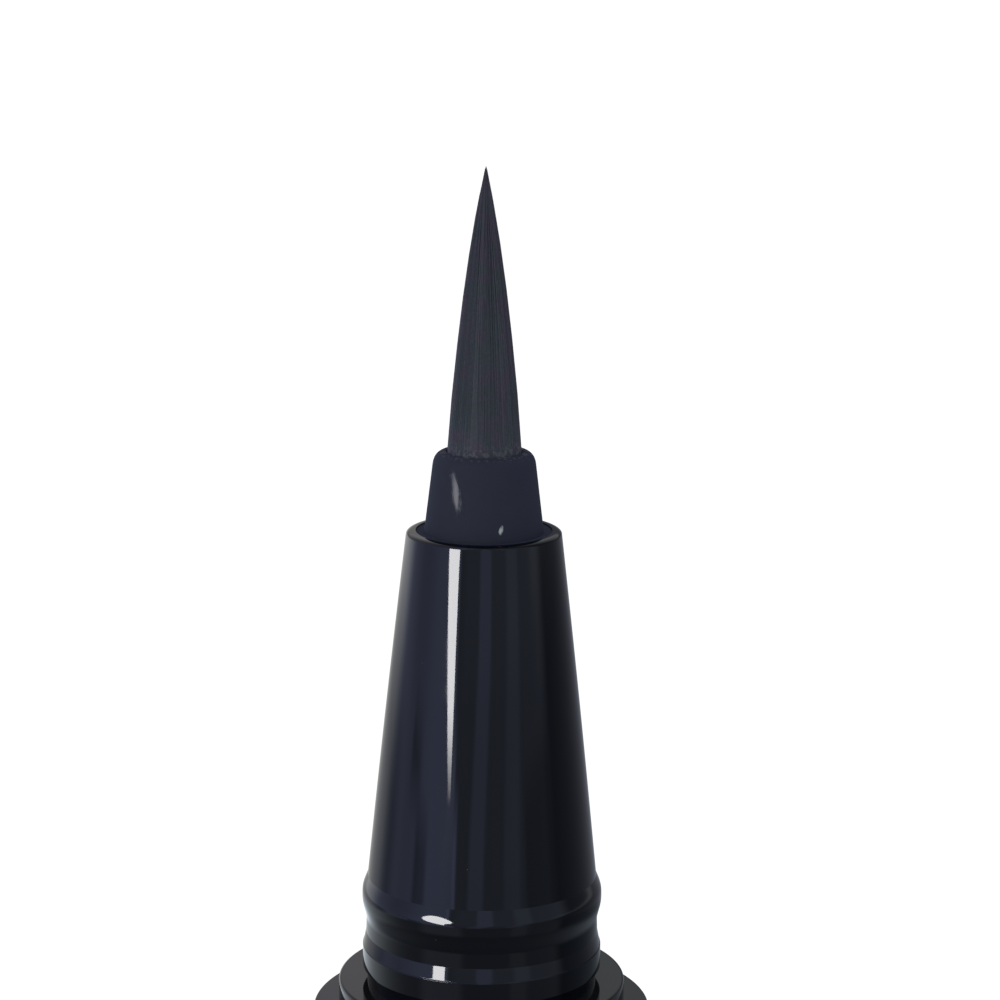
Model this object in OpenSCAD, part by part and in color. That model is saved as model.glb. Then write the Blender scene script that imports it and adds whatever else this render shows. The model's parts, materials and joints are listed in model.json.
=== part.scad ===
// Liquid eyeliner pen with a brush tip, standing brush up with its cap pushed onto the tail.
// The pen's axis is +Z. The origin is the middle of the cap's closed end, which it stands on.
// Radii are measured from the pen's axis, and each piece takes its seat from its neighbour's sizes.

/* [Barrel] */
// Outside diameter of the barrel and of the cap
barrel_d = 9.4; // [9:0.1:11]
// Length of the barrel from its rear shoulder to its front shoulder
barrel_len = 88; // [80:1:100]
// Width of the shoulder that the cap's mouth meets
shoulder_w = 0.75; // [0.65:0.05:0.9]
// How much narrower the bore is behind the front sleeve, on the radius
barrel_step = 0.2; // [0.15:0.05:0.3]
// Rounding of the barrel's two outer edges
barrel_edge_r = 0.25; // [0.1:0.05:0.4]

/* [Front sleeve] */
// How far the sleeve's flat face stands out of the barrel
spigot_h = 0.86; // [0.7:0.02:1.2]
// Length of the sleeve inside the barrel
sleeve_len = 24; // [20:1:28]
// Wall of the sleeve around the collector
sleeve_wall = 0.45; // [0.4:0.05:0.6]
// Thickness of the sleeve's front wall
sleeve_face_t = 2.4; // [2.2:0.1:3]
// Rounding of the sleeve's front edge
sleeve_edge_r = 0.08; // [0.04:0.01:0.15]

/* [Nose cone] */
// Length of the nose cone from the sleeve's face to its mouth
nose_len = 12.81; // [11:0.01:15]
// Outside diameter of the cone at its mouth
mouth_d = 4.23; // [4.1:0.01:4.6]
// Outside diameter of the cone where the snap bead begins
cone_base_d = 6.32; // [6:0.01:6.5]
// Diameter of the bore that holds the brush collar
mouth_bore_d = 3.75; // [3.6:0.01:3.8]
// Depth of that bore
mouth_bore_depth = 7.2; // [6:0.1:8]
// Rounding of the mouth's outer edge
rim_r = 0.18; // [0.1:0.01:0.2]
// Height that the snap bead stands out
bead_h = 0.18; // [0.1:0.01:0.22]
// Length of the snap bead along the pen
bead_len = 1.07; // [0.8:0.01:1.4]
// Diameter of the neck between the bead and the ring
neck_d = 6.38; // [6.1:0.01:6.45]
// Length of the neck
neck_len = 0.83; // [0.6:0.01:1.2]
// Length of the flare from the neck to the ring
flare_len = 0.45; // [0.3:0.01:0.8]
// Diameter of the ring at the cone's lower end
ring_d = 6.66; // [6.6:0.01:6.8]
// Length of the ring
ring_len = 0.28; // [0.2:0.01:0.5]
// Diameter of the foot under the ring
foot_d = 6.1; // [5.8:0.05:6.2]
// Height of the foot, which sets the ring off the sleeve
foot_h = 0.52; // [0.3:0.01:0.8]
// Diameter of the stem that goes down through the sleeve
stem_d = 5.2; // [5:0.05:5.4]
// Length of the stem below the sleeve's face
stem_len = 4; // [3.6:0.1:5]

/* [Brush] */
// Diameter of the brush where it leaves the collar
brush_d = 2.05; // [1.8:0.01:2.1]
// Length of the brush above the collar
brush_len = 7.68; // [6:0.01:9]
// Rings of strands around the middle one
strand_rings = 10; // [10:1:11]
// Thickness of the slice of backing that the strands stand in
slice_t = 0.3; // [0.2:0.05:0.5]
// Depth of the slice below the collar's top
slice_sunk = 0.12; // [0.05:0.01:0.2]
// Diameter of the melted flange at the heel of the brush
heel_d = 2.7; // [2.5:0.05:2.8]
// Thickness of that flange
heel_t = 0.6; // [0.4:0.05:1]

/* [Brush collar] */
// Height of the collar above the nose cone's mouth
collar_rise = 2.24; // [1.5:0.01:3]
// Diameter of the collar's taper at its top
collar_top_d = 2.71; // [2.6:0.01:2.9]
// Diameter of the collar's taper level with the mouth
collar_mouth_d = 3.25; // [3.1:0.01:3.35]
// Rounding of the collar's top edge
collar_edge_r = 0.22; // [0.1:0.01:0.25]
// Depth below the mouth where the collar widens to fill the bore
collar_sunk = 1.3; // [0.8:0.1:2]
// Length of the hole that the bristles pass through
brush_hole_len = 2.4; // [2:0.1:3]

/* [Ink feed] */
// Outside diameter of the feed pipe between the brush and the collector
pipe_d = 2.66; // [2.5:0.02:2.7]
// Wall of the feed pipe
pipe_wall = 0.48; // [0.3:0.01:0.5]
// Air gap around the feed pipe inside the nose cone
pipe_air = 0.25; // [0.15:0.05:0.4]
// Depth of the socket in the collector that takes the feed pipe
pipe_socket_len = 2; // [1.5:0.1:3]
// Diameter of the fibre wick
wick_d = 1.6; // [1.4:0.02:1.6]
// How far the wick reaches into the ink tank beyond the collector
wick_reach = 1.5; // [1:0.1:3]
// Diameter of the collector's core
core_d = 3.8; // [3.6:0.1:4.2]
// Thickness of one fin
fin_t = 0.35; // [0.3:0.05:0.4]
// Distance from one fin to the next
fin_pitch = 0.8; // [0.7:0.05:1]
// Thickness of the collector's rear flange
collector_flange_t = 1.2; // [1:0.1:2]
// Width of the ink slot along the fins
ink_slot_w = 0.3; // [0.2:0.05:0.4]
// Width of the air channel along the fins
air_slot_w = 1; // [0.8:0.1:1.4]
// Diameter of the collector's nipple in the tank
nipple_d = 4.4; // [4.2:0.1:4.6]
// Length of the nipple
nipple_len = 3; // [2.6:0.1:4]

/* [Ink tank] */
// Gap between the ink tank and the barrel
tank_gap = 0.1; // [0.05:0.01:0.15]
// Wall of the ink tank
tank_wall = 0.5; // [0.4:0.05:0.7]
// Thickness of the tank's front wall
tank_front_t = 1.8; // [1.6:0.1:2.4]
// Thickness of the flange that closes the tank's rear end
tank_plug_t = 0.8; // [0.6:0.1:1.2]
// Length of the plug inside the tank
tank_plug_len = 2; // [1.5:0.1:3]
// Diameter of the mixing ball
ball_d = 3; // [2:0.5:4]

/* [Tail plug] */
// Length of the tail plug inside the barrel
tail_stem_len = 6.5; // [5:0.5:9]
// Length of the tail's taper beyond its snap bead
tail_cone_len = 3.4; // [2.5:0.1:4]
// Diameter at the end of the tail
tail_end_d = 5.4; // [5:0.1:5.8]
// Rounding at the end of the tail
tail_end_r = 0.5; // [0.2:0.05:0.8]
// Diameter of the hollow inside the tail plug
tail_hollow_d = 4.4; // [3.6:0.1:4.8]

/* [Cap] */
// Length of the cap
cap_len = 38; // [36:0.5:44]
// Thickness of the cap's closed end
cap_end_t = 1.2; // [1:0.1:2]
// Rounding around the cap's closed end
cap_end_r = 0.5; // [0.2:0.05:1]
// Rounding of the cap's mouth
cap_mouth_r = 0.15; // [0.05:0.05:0.3]
// Length of the snap liner inside the cap
liner_len = 9.2; // [8.6:0.1:9.6]
// Wall of the snap liner
liner_wall = 0.42; // [0.35:0.01:0.5]
// Length of the liner's snap lip
lip_len = 0.6; // [0.4:0.05:0.8]
// Diameter of the hollow in the inner cap
inner_bore_d = 6; // [5.9:0.05:6.2]
// Wall of the inner cap
inner_wall = 0.4; // [0.3:0.05:0.5]
// Floor of the inner cap
inner_floor_t = 0.8; // [0.6:0.1:1.2]
// Diameter of the sealing lip that meets the nose cone
seal_lip_d = 4.7; // [4.4:0.05:5]
// Thickness of the inner cap's flange and lip
inner_flange_t = 0.8; // [0.6:0.1:1.2]
// Room between the brush tip and the inner cap's floor when the pen is capped
tip_room = 1.4; // [1:0.1:2]
// How far the nose cone pushes the inner cap back against its spring
inner_push = 1; // [0.5:0.1:1.5]

/* [Cap spring] */
// Diameter of the spring wire
wire_d = 0.44; // [0.3:0.02:0.5]
// Diameter of the coil at the middle of the wire
coil_d = 5; // [4.8:0.1:5.4]
// Number of curls
coil_curls = 8; // [5:1:12]
// Height of the bosses that keep the spring centred
boss_h = 1; // [0.6:0.1:1.4]

/* [Clearances] */
// Clearance on the radius between pieces that are pushed together
fit = 0.02; // [0.01:0.005:0.03]
// Clearance on the radius between the cap and the spigots it slides over
cap_clear = 0.05; // [0.05:0.01:0.1]
// Gap that keeps a moving piece off its stop
rest_gap = 0.1; // [0.05:0.01:0.2]
// Free room around the liner's bore behind its lip
liner_room = 0.2; // [0.15:0.01:0.25]

/* [Hidden] */
$fn = 96;

// Colours, as shown by the pen's dark glossy plastic
navy = [0.10, 0.10, 0.15];
black = [0.08, 0.08, 0.10];
charcoal = [0.22, 0.22, 0.27];
milky = [0.86, 0.87, 0.88];
fibre = [0.90, 0.88, 0.82];
rubber = [0.12, 0.12, 0.12];
steel = [0.75, 0.76, 0.78];

// Radii that several pieces share
barrel_r = barrel_d / 2;
spigot_r = barrel_r - shoulder_w;
bore_r = spigot_r - barrel_step;
bead_r = cone_base_d / 2 + bead_h;
stem_r = stem_d / 2;
sleeve_bore_r = max(spigot_r - fit - sleeve_wall, stem_r + fit);
wick_r = wick_d / 2;
pipe_r = max(pipe_d / 2, wick_r + fit + pipe_wall);
pipe_way_r = pipe_r + pipe_air;
tank_r = bore_r - tank_gap;
tank_bore_r = tank_r - tank_wall;
nipple_r = nipple_d / 2;

// The liner's lip clears the widest part of the nose, and the cap's bore leaves room for the liner.
// The cap's wall covers the barrel's shoulder, so the cap and the barrel are flush.
least_lip_h = 0.05;
lip_r = max(bead_r, neck_d / 2, ring_d / 2) + cap_clear;
cap_bore_r = max(spigot_r + cap_clear, lip_r + least_lip_h + liner_wall + fit);
cap_wall = shoulder_w - cap_clear;
cap_r = cap_bore_r + cap_wall;

// The brush collar holds the brush and the feed pipe, and the mouth of the nose holds the collar
least_collar_wall = 0.06;
brush_hole_r = brush_d / 2 + fit;
collar_socket_r = max(heel_d / 2, pipe_r) + fit;
collar_top_r = max(collar_top_d / 2, brush_hole_r + collar_edge_r + least_collar_wall);
collar_tilt = atan((collar_mouth_d / 2 - collar_top_r) / collar_rise);
collar_sunk_r = max(collar_mouth_d / 2 + collar_sunk * tan(collar_tilt), collar_socket_r + least_collar_wall);
mouth_bore_r = max(mouth_bore_d / 2, collar_sunk_r + least_collar_wall);
mouth_r = max(mouth_d / 2, mouth_bore_r + rim_r + fit);

// Heights, from the foot of the cap to the tip of the brush
rear_z = cap_len;
front_z = rear_z + barrel_len;
face_z = front_z + spigot_h;
mouth_z = face_z + nose_len;
collar_top_z = mouth_z + collar_rise;
collar_foot_z = mouth_z - mouth_bore_depth;
heel_z = collar_top_z - brush_hole_len - heel_t;
stem_end_z = face_z - stem_len;
step_z = front_z - sleeve_len;
tail_top_z = rear_z + tail_stem_len;
tank_z = tail_top_z + tank_plug_t;

// Seal rings: each lies in a square groove, some way down from the end of what it seals
groove_depth = 0.5;
groove_len = 0.7;
nose_groove_drop = 0.9;
tank_groove_drop = 0.55;
tail_groove_drop = 2;

// Small places within the cap, measured down from its mouth
liner_gap = 0.24;
liner_face_w = 0.25;
liner_top = spigot_h + liner_gap;
liner_end = liner_top + liner_len;
snap_len = foot_h + ring_len + flare_len + neck_len;
lip_mid = spigot_h + snap_len - neck_len / 2;
rim_depth = liner_end + rest_gap;
tip_depth = spigot_h + nose_len + collar_rise + brush_len;
inner_floor_depth = tip_depth + tip_room - inner_push;
inner_end_depth = inner_floor_depth + inner_floor_t;

// Steps in each rounded stretch of an outline
arc_steps = 8;

// An arc of an outline about centre c, from one angle to another
function arc(c, r, from, to) =
    [for (i = [0:arc_steps]) let (a = from + (to - from) * i / arc_steps) c + r * [cos(a), sin(a)]];

// A stretch that swells by h between two radii, as half a sine wave
function swell(r0, r1, z0, z1, h) =
    [for (i = [0:arc_steps]) let (t = i / arc_steps)
        [r0 + (r1 - r0) * t + h * sin(180 * t), z0 + (z1 - z0) * t]];

// A stretch that passes from one radius to another along half a cosine wave
function blend(r0, r1, z0, z1) =
    [for (i = [0:arc_steps]) let (t = i / arc_steps)
        [r1 + (r0 - r1) * (1 + cos(180 * t)) / 2, z0 + (z1 - z0) * t]];

// A rounded edge between a taper of the given outer radius at height z and a flat top there.
// tilt is the taper's lean towards the axis.
function taper_edge(r_top, z, r, tilt) =
    arc([r_top + r * tan(tilt) - r / cos(tilt), z - r], r, tilt, 90);

// Depth of the notch under the bead
bead_notch = 0.03;

// The outline that the cap snaps on: foot, ring, flare, neck and bead, from height z up
function snap_outline(z) = concat(
    [[foot_d / 2, z], [foot_d / 2, z + foot_h]],
    [[ring_d / 2, z + foot_h]],
    blend(ring_d / 2, neck_d / 2, z + foot_h + ring_len, z + foot_h + ring_len + flare_len),
    swell(neck_d / 2 - bead_notch, cone_base_d / 2, z + snap_len, z + snap_len + bead_len, bead_h)
);

// A round groove for a seal, cut into a stem of radius r, with its top at z
function groove_outline(r, z) = [
    [r, z - groove_len], [r - groove_depth, z - groove_len], [r - groove_depth, z], [r, z]
];

// A seal ring that fills such a groove and meets the wall around it
module seal_ring(stem_radius, z) {
    tube_r = (groove_depth + fit) / 2 - fit / 4;
    translate([0, 0, z - groove_len / 2])
        rotate_extrude()
            translate([stem_radius - groove_depth + fit / 4 + tube_r, 0])
                circle(r = tube_r);
}

// Envelope of the brush: the share of its base radius at a share of its height
function brush_share(s) = 1 - 0.66 * s - 0.30 * pow(s, 3);

// Heights of the strand's levels, as shares of its length, before its pointed end
level_shares = [0, 0.48, 0.80];
// How much earlier the outermost strands end, as a share of the length
stagger_share = 0.09;
// Radius of a strand as a share of the gap between rings
strand_share = 0.47;
strand_sides = 3;

// One strand from height z0 to 1 in a tuft of unit radius and height, set at [r, a]
function strand_points(r, a, turn, z0) = let (end = 1 - stagger_share * r) concat(
    [for (level = level_shares, i = [0:strand_sides - 1])
        let (s = level * end,
             k = brush_share(s),
             w = strand_share / strand_rings * (1 - level / 3),
             b = turn + i * 360 / strand_sides)
        [k * (r * cos(a) + w * cos(b)), k * (r * sin(a) + w * sin(b)), z0 + (1 - z0) * s]],
    [[brush_share(end) * r * cos(a), brush_share(end) * r * sin(a), z0 + (1 - z0) * end]]
);

// Faces of one strand whose points begin at index n
function strand_faces(n) = let (m = strand_sides, top = n + m * len(level_shares)) concat(
    [[for (i = [0:m - 1]) n + i]],
    [for (j = [0:len(level_shares) - 2], i = [0:m - 1], half = [0, 1])
        let (a = n + j * m + i, b = n + j * m + (i + 1) % m)
        half == 0 ? [a, a + m, b] : [b, a + m, b + m]],
    [for (i = [0:m - 1]) [top - m + i, top, top - m + (i + 1) % m]]
);

// The seats of the strands: one in the middle and 6 more in each further ring
strand_seats = concat([[0, 0]],
    [for (k = [1:strand_rings], i = [0:6 * k - 1])
        [k / (strand_rings + strand_share), 360 * (i + k / 3) / (6 * k)]]);

module brush_bristles() {
    slice_share = slice_t / (slice_t + slice_sunk + brush_len);
    each_points = strand_sides * len(level_shares) + 1;
    color(charcoal)
        translate([0, 0, collar_top_z - slice_sunk - slice_t])
            resize([brush_d, brush_d, slice_t + slice_sunk + brush_len]) {
                cylinder(r = 1, h = slice_share);
                polyhedron(
                    points = [for (i = [0:len(strand_seats) - 1])
                        each strand_points(strand_seats[i][0], strand_seats[i][1], 137.5 * i,
                            slice_share)],
                    faces = [for (i = [0:len(strand_seats) - 1]) each strand_faces(i * each_points)]);
            }
}

module brush_heel() {
    r = brush_d / 2;
    color(charcoal)
        rotate_extrude()
            polygon([
                [0, heel_z], [heel_d / 2, heel_z], [heel_d / 2, heel_z + heel_t], [r, heel_z + heel_t],
                [r, collar_top_z - slice_sunk - slice_t], [0, collar_top_z - slice_sunk - slice_t]
            ]);
}

module brush_collar() {
    body_r = mouth_bore_r - fit;
    hole_r = brush_hole_r;
    socket_r = collar_socket_r;
    color(navy)
        rotate_extrude()
            polygon(concat(
                [[socket_r, collar_foot_z], [body_r, collar_foot_z], [body_r, mouth_z - collar_sunk]],
                [[collar_sunk_r, mouth_z - collar_sunk]],
                taper_edge(collar_top_r, collar_top_z, collar_edge_r, collar_tilt),
                [[hole_r, collar_top_z], [hole_r, heel_z + heel_t], [socket_r, heel_z + heel_t]]
            ));
}

module feed_pipe() {
    foot = stem_end_z - pipe_socket_len;
    color(milky)
        translate([0, 0, foot])
            difference() {
                cylinder(r = pipe_r, h = heel_z - foot);
                translate([0, 0, -fit])
                    cylinder(r = pipe_r - pipe_wall, h = heel_z - foot + 2 * fit);
            }
}

module relay_wick() {
    foot = step_z - nipple_len - wick_reach;
    point = wick_r / 2;
    color(fibre)
        rotate_extrude()
            polygon([
                [0, foot], [wick_r - point, foot], [wick_r, foot + point],
                [wick_r, heel_z], [0, heel_z]
            ]);
}

module nose_cone() {
    cone_len = nose_len - snap_len - bead_len;
    tilt = atan((cone_base_d / 2 - mouth_r) / cone_len);
    color(black)
        translate([0, 0, face_z])
            rotate_extrude()
                polygon(concat(
                    [[pipe_way_r, -stem_len], [stem_r, -stem_len]],
                    groove_outline(stem_r, -nose_groove_drop),
                    [[stem_r, 0]],
                    snap_outline(0),
                    taper_edge(mouth_r, nose_len, rim_r, tilt),
                    [[mouth_bore_r, nose_len], [mouth_bore_r, nose_len - mouth_bore_depth]],
                    [[pipe_way_r, nose_len - mouth_bore_depth]]
                ));
}

module nose_seal() {
    color(rubber) seal_ring(stem_r, face_z - nose_groove_drop);
}

module front_sleeve() {
    r = spigot_r;
    e = sleeve_edge_r;
    foot = -spigot_h - sleeve_len;
    color(black)
        translate([0, 0, face_z])
            rotate_extrude()
                polygon(concat(
                    [[sleeve_bore_r, foot], [r, foot]],
                    arc([r - e, -e], e, 0, 90),
                    [[stem_r + fit, 0], [stem_r + fit, -sleeve_face_t], [sleeve_bore_r, -sleeve_face_t]]
                ));
}

module collector() {
    fin_r = sleeve_bore_r - fit;
    core_r = core_d / 2;
    fins_len = stem_end_z - step_z - collector_flange_t;
    fins = floor((fins_len - fin_t) / fin_pitch);
    flange_z = step_z + collector_flange_t;
    slot_r = 2 * barrel_r;
    color(milky)
        difference() {
            rotate_extrude()
                polygon(concat(
                    [[wick_r + fit, step_z - nipple_len], [nipple_r, step_z - nipple_len]],
                    groove_outline(nipple_r, step_z - tank_groove_drop),
                    [[nipple_r, step_z], [fin_r, step_z], [fin_r, flange_z]],
                    [for (i = [1:fins], p = [
                        [core_r, -fin_t], [fin_r, -fin_t], [fin_r, 0], [core_r, 0]
                    ]) [p[0], flange_z + i * fin_pitch + p[1]]],
                    [[core_r, stem_end_z], [pipe_r + fit, stem_end_z]],
                    [[pipe_r + fit, stem_end_z - pipe_socket_len]],
                    [[wick_r + fit, stem_end_z - pipe_socket_len]]
                ));
            translate([core_r - ink_slot_w, -ink_slot_w / 2, flange_z])
                cube([slot_r, ink_slot_w, fins_len]);
            translate([-slot_r - core_r, -air_slot_w / 2, flange_z])
                cube([slot_r, air_slot_w, fins_len]);
        }
}

module tank_seal() {
    color(rubber) seal_ring(nipple_r, step_z - tank_groove_drop);
}

module ink_tank() {
    hole_r = nipple_r + fit;
    color(milky)
        rotate_extrude()
            polygon([
                [tank_bore_r, tank_z], [tank_r, tank_z], [tank_r, step_z], [hole_r, step_z],
                [hole_r, step_z - tank_front_t], [tank_bore_r, step_z - tank_front_t]
            ]);
}

module tank_plug() {
    r = tank_bore_r - fit;
    color(milky)
        rotate_extrude()
            polygon([
                [0, tail_top_z], [tank_r, tail_top_z], [tank_r, tank_z], [r, tank_z],
                [r, tank_z + tank_plug_len], [0, tank_z + tank_plug_len]
            ]);
}

module mixing_ball() {
    color(steel)
        translate([0, 0, tank_z + tank_plug_len + rest_gap + ball_d / 2])
            sphere(d = ball_d);
}

module barrel() {
    r = barrel_r - barrel_edge_r;
    seat_r = spigot_r + fit;
    color(navy)
        translate([0, 0, rear_z])
            rotate_extrude()
                polygon(concat(
                    [[bore_r, 0]],
                    arc([r, barrel_edge_r], barrel_edge_r, -90, 0),
                    arc([r, barrel_len - barrel_edge_r], barrel_edge_r, 0, 90),
                    [[seat_r, barrel_len], [seat_r, barrel_len - sleeve_len]],
                    [[bore_r, barrel_len - sleeve_len]]
                ));
}

module tail_plug() {
    stem = bore_r - fit;
    e = sleeve_edge_r;
    hollow_r = tail_hollow_d / 2;
    hollow_end = spigot_h + snap_len;
    end = spigot_h + snap_len + bead_len + tail_cone_len;
    tilt = atan((cone_base_d - tail_end_d) / 2 / tail_cone_len);
    color(navy)
        translate([0, 0, rear_z])
            mirror([0, 0, 1])
                rotate_extrude()
                    polygon(concat(
                        [[hollow_r, -tail_stem_len], [stem, -tail_stem_len]],
                        groove_outline(stem, -tail_groove_drop),
                        [[stem, 0], [spigot_r, 0]],
                        arc([spigot_r - e, spigot_h - e], e, 0, 90),
                        snap_outline(spigot_h),
                        taper_edge(tail_end_d / 2, end, tail_end_r, tilt),
                        [[0, end], [0, hollow_end], [hollow_r, hollow_end]]
                    ));
}

module tail_seal() {
    color(rubber) seal_ring(bore_r - fit, rear_z + tail_groove_drop + groove_len);
}

module cap_shell() {
    r = cap_r - cap_end_r;
    m = cap_r - cap_mouth_r;
    boss_r = coil_d / 2 - wire_d;
    color(navy)
        rotate_extrude()
            polygon(concat(
                [[0, 0]],
                arc([r, cap_end_r], cap_end_r, -90, 0),
                arc([m, cap_len - cap_mouth_r], cap_mouth_r, 0, 90),
                [[cap_bore_r, cap_len], [cap_bore_r, cap_end_t], [boss_r, cap_end_t]],
                [[boss_r, cap_end_t + boss_h], [0, cap_end_t + boss_h]]
            ));
}

module cap_liner() {
    outer = cap_bore_r - fit;
    inner = outer - liner_wall;
    ramp = inner - lip_r;
    top = cap_len - liner_top;
    mid = cap_len - lip_mid;
    color(black)
        rotate_extrude()
            polygon([
                [inner, cap_len - liner_end], [outer, cap_len - liner_end], [outer, top],
                [outer - liner_face_w, top], [lip_r, mid + lip_len / 2], [lip_r, mid - lip_len / 2],
                [inner, mid - lip_len / 2 - ramp]
            ]);
}

module inner_cap() {
    bore = inner_bore_d / 2;
    outer = bore + inner_wall;
    flange_r = cap_bore_r - 3 * cap_clear;
    rim = cap_len - rim_depth;
    floor_z = cap_len - inner_floor_depth;
    boss_r = coil_d / 2 - wire_d;
    color(milky)
        rotate_extrude()
            polygon([
                [0, floor_z - inner_floor_t - boss_h], [boss_r, floor_z - inner_floor_t - boss_h],
                [boss_r, floor_z - inner_floor_t], [outer, floor_z - inner_floor_t],
                [outer, rim - inner_flange_t], [flange_r, rim - inner_flange_t], [flange_r, rim],
                [bore, rim], [seal_lip_d / 2, rim - inner_flange_t / 2],
                [bore, rim - inner_flange_t], [bore, floor_z], [0, floor_z]
            ]);
}

// The spring's wire is swept along a helix, with this many rings in a curl and sides around the wire
coil_rings = 8;
wire_sides = 6;

module cap_spring() {
    wire = wire_d / 2;
    foot = cap_end_t + fit + wire;
    rise = cap_len - inner_end_depth - fit - wire - foot;
    steps = coil_curls * coil_rings;
    path = [for (i = [0:steps]) let (a = 360 * i / coil_rings)
        [coil_d / 2 * cos(a), coil_d / 2 * sin(a), foot + rise * i / steps]];
    gaps = [for (i = [0:steps - coil_rings], j = [i + coil_rings / 2:steps])
        norm(path[j] - path[i]) - wire_d];
    echo(least_gap_in_the_coil = min(gaps));
    color(steel)
        polyhedron(
            points = [for (i = [0:steps], k = [0:wire_sides - 1])
                let (a = 360 * i / coil_rings, b = 360 * k / wire_sides)
                path[i] + wire * [cos(b) * cos(a), cos(b) * sin(a), sin(b)]],
            faces = concat(
                [for (k = [1:wire_sides - 2]) [0, k, k + 1]],
                [for (i = [0:steps - 1], k = [0:wire_sides - 1], half = [0, 1])
                    let (a = i * wire_sides + k, b = i * wire_sides + (k + 1) % wire_sides)
                    half == 0 ? [a, a + wire_sides, b] : [b, a + wire_sides, b + wire_sides]],
                [for (k = [1:wire_sides - 2])
                    let (n = steps * wire_sides) [n, n + k + 1, n + k]]
            ));
}

brush_bristles();
brush_heel();
brush_collar();
feed_pipe();
relay_wick();
nose_cone();
nose_seal();
front_sleeve();
collector();
tank_seal();
ink_tank();
tank_plug();
mixing_ball();
barrel();
tail_plug();
tail_seal();
cap_shell();
cap_liner();
inner_cap();
cap_spring();
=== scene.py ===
"""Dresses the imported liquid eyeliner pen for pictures: the brush, its collar, the stepped nose, the barrel,
the tail and the posted cap, with their materials, a plain stage and the photograph's view.

The file is laid out as a Blender add-on and is run as a script. All lengths are in metres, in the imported
model's frame: the pen's axis is +Z, and the cap's closed end stands on z = 0. A piece that is turned about
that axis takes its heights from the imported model, and its remaining sizes from the settings below."""

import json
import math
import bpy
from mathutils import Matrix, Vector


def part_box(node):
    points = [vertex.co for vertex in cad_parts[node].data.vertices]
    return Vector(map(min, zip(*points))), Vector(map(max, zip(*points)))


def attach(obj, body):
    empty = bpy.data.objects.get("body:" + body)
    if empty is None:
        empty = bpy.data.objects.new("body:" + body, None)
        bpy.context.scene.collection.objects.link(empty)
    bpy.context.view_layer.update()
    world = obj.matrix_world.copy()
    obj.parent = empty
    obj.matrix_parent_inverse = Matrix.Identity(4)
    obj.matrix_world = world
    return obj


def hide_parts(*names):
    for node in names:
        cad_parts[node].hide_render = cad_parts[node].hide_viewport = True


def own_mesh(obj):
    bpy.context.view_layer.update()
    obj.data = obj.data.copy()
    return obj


bl_info = {
    "name": "Liquid eyeliner pen",
    "version": (1, 0, 0),
    "blender": (4, 5, 0),
    "location": "3D View > Sidebar > Eyeliner Pen",
    "description": "Builds the pen's pieces around its packed model, with their materials, stage and camera",
    "category": "Object",
}

import bpy
import numpy as np
from bpy.props import FloatProperty, FloatVectorProperty, IntProperty, PointerProperty
from mathutils import Matrix

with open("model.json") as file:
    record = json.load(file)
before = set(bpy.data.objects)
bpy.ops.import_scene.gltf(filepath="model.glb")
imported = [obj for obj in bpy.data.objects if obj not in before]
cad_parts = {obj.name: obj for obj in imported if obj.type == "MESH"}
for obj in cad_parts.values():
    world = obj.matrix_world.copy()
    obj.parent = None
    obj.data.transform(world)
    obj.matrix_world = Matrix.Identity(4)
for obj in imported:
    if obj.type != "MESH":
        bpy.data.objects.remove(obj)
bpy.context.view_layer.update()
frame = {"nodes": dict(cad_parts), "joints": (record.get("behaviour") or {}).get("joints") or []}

MM = 0.001


def top(node):
    """Height of a CAD node's highest point."""
    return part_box(node)[1].z


def foot(node):
    """Height of a CAD node's lowest point."""
    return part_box(node)[0].z


def half_width(node):
    """Largest radius of a CAD node that is turned about the pen's axis."""
    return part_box(node)[1].x


def length(name, description, default):
    """A setting for a length in metres."""
    return FloatProperty(
        name=name, description=description, default=default, min=0, unit="LENGTH", precision=6)


def colour(name, description, default):
    """A setting for a linear colour."""
    return FloatVectorProperty(
        name=name, description=description, default=default, size=3, min=0, max=1, subtype="COLOR")


def angle(name, description, degrees):
    """A setting for an angle, given in degrees."""
    return FloatProperty(
        name=name, description=description, default=math.radians(degrees), subtype="ANGLE", unit="ROTATION")


def share(name, description, default):
    """A setting for a share from 0 to 1."""
    return FloatProperty(name=name, description=description, default=default, min=0, max=1)


def amount(name, description, default, least, most):
    """A setting for a whole number."""
    return IntProperty(name=name, description=description, default=default, min=least, max=most)


# Settings


class BrushSettings(bpy.types.PropertyGroup):
    base_radius: length("Base radius", "Radius of the tuft where it leaves the collar", 1.03 * MM)
    rings: amount("Rings", "Rings of filaments around the middle one", 14, 4, 18)
    filament_radius: length("Filament radius", "Radius of one filament at its root", 0.042 * MM)
    root_depth: length("Root depth", "How far the filaments reach below the collar's top", 0.3 * MM)
    wander: length("Wander", "How far a filament strays sideways from its straight way", 0.018 * MM)
    splay: length("Splay", "How far the filaments that end early stand off the tuft", 0.010 * MM)
    early_share: share("Early ends", "Share of the filaments that end short of the tip", 0.3)
    dark: colour("Dark filament", "Colour of the darkest filaments", (0.053, 0.057, 0.074))
    light: colour("Light filament", "Colour of the lightest filaments", (0.086, 0.089, 0.114))
    tip: colour("Tip", "Colour near the point of the brush", (0.125, 0.115, 0.165))
    crumbs: colour("Crumbs", "Colour of the dried crumbs at the foot", (0.13, 0.13, 0.165))


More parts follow.
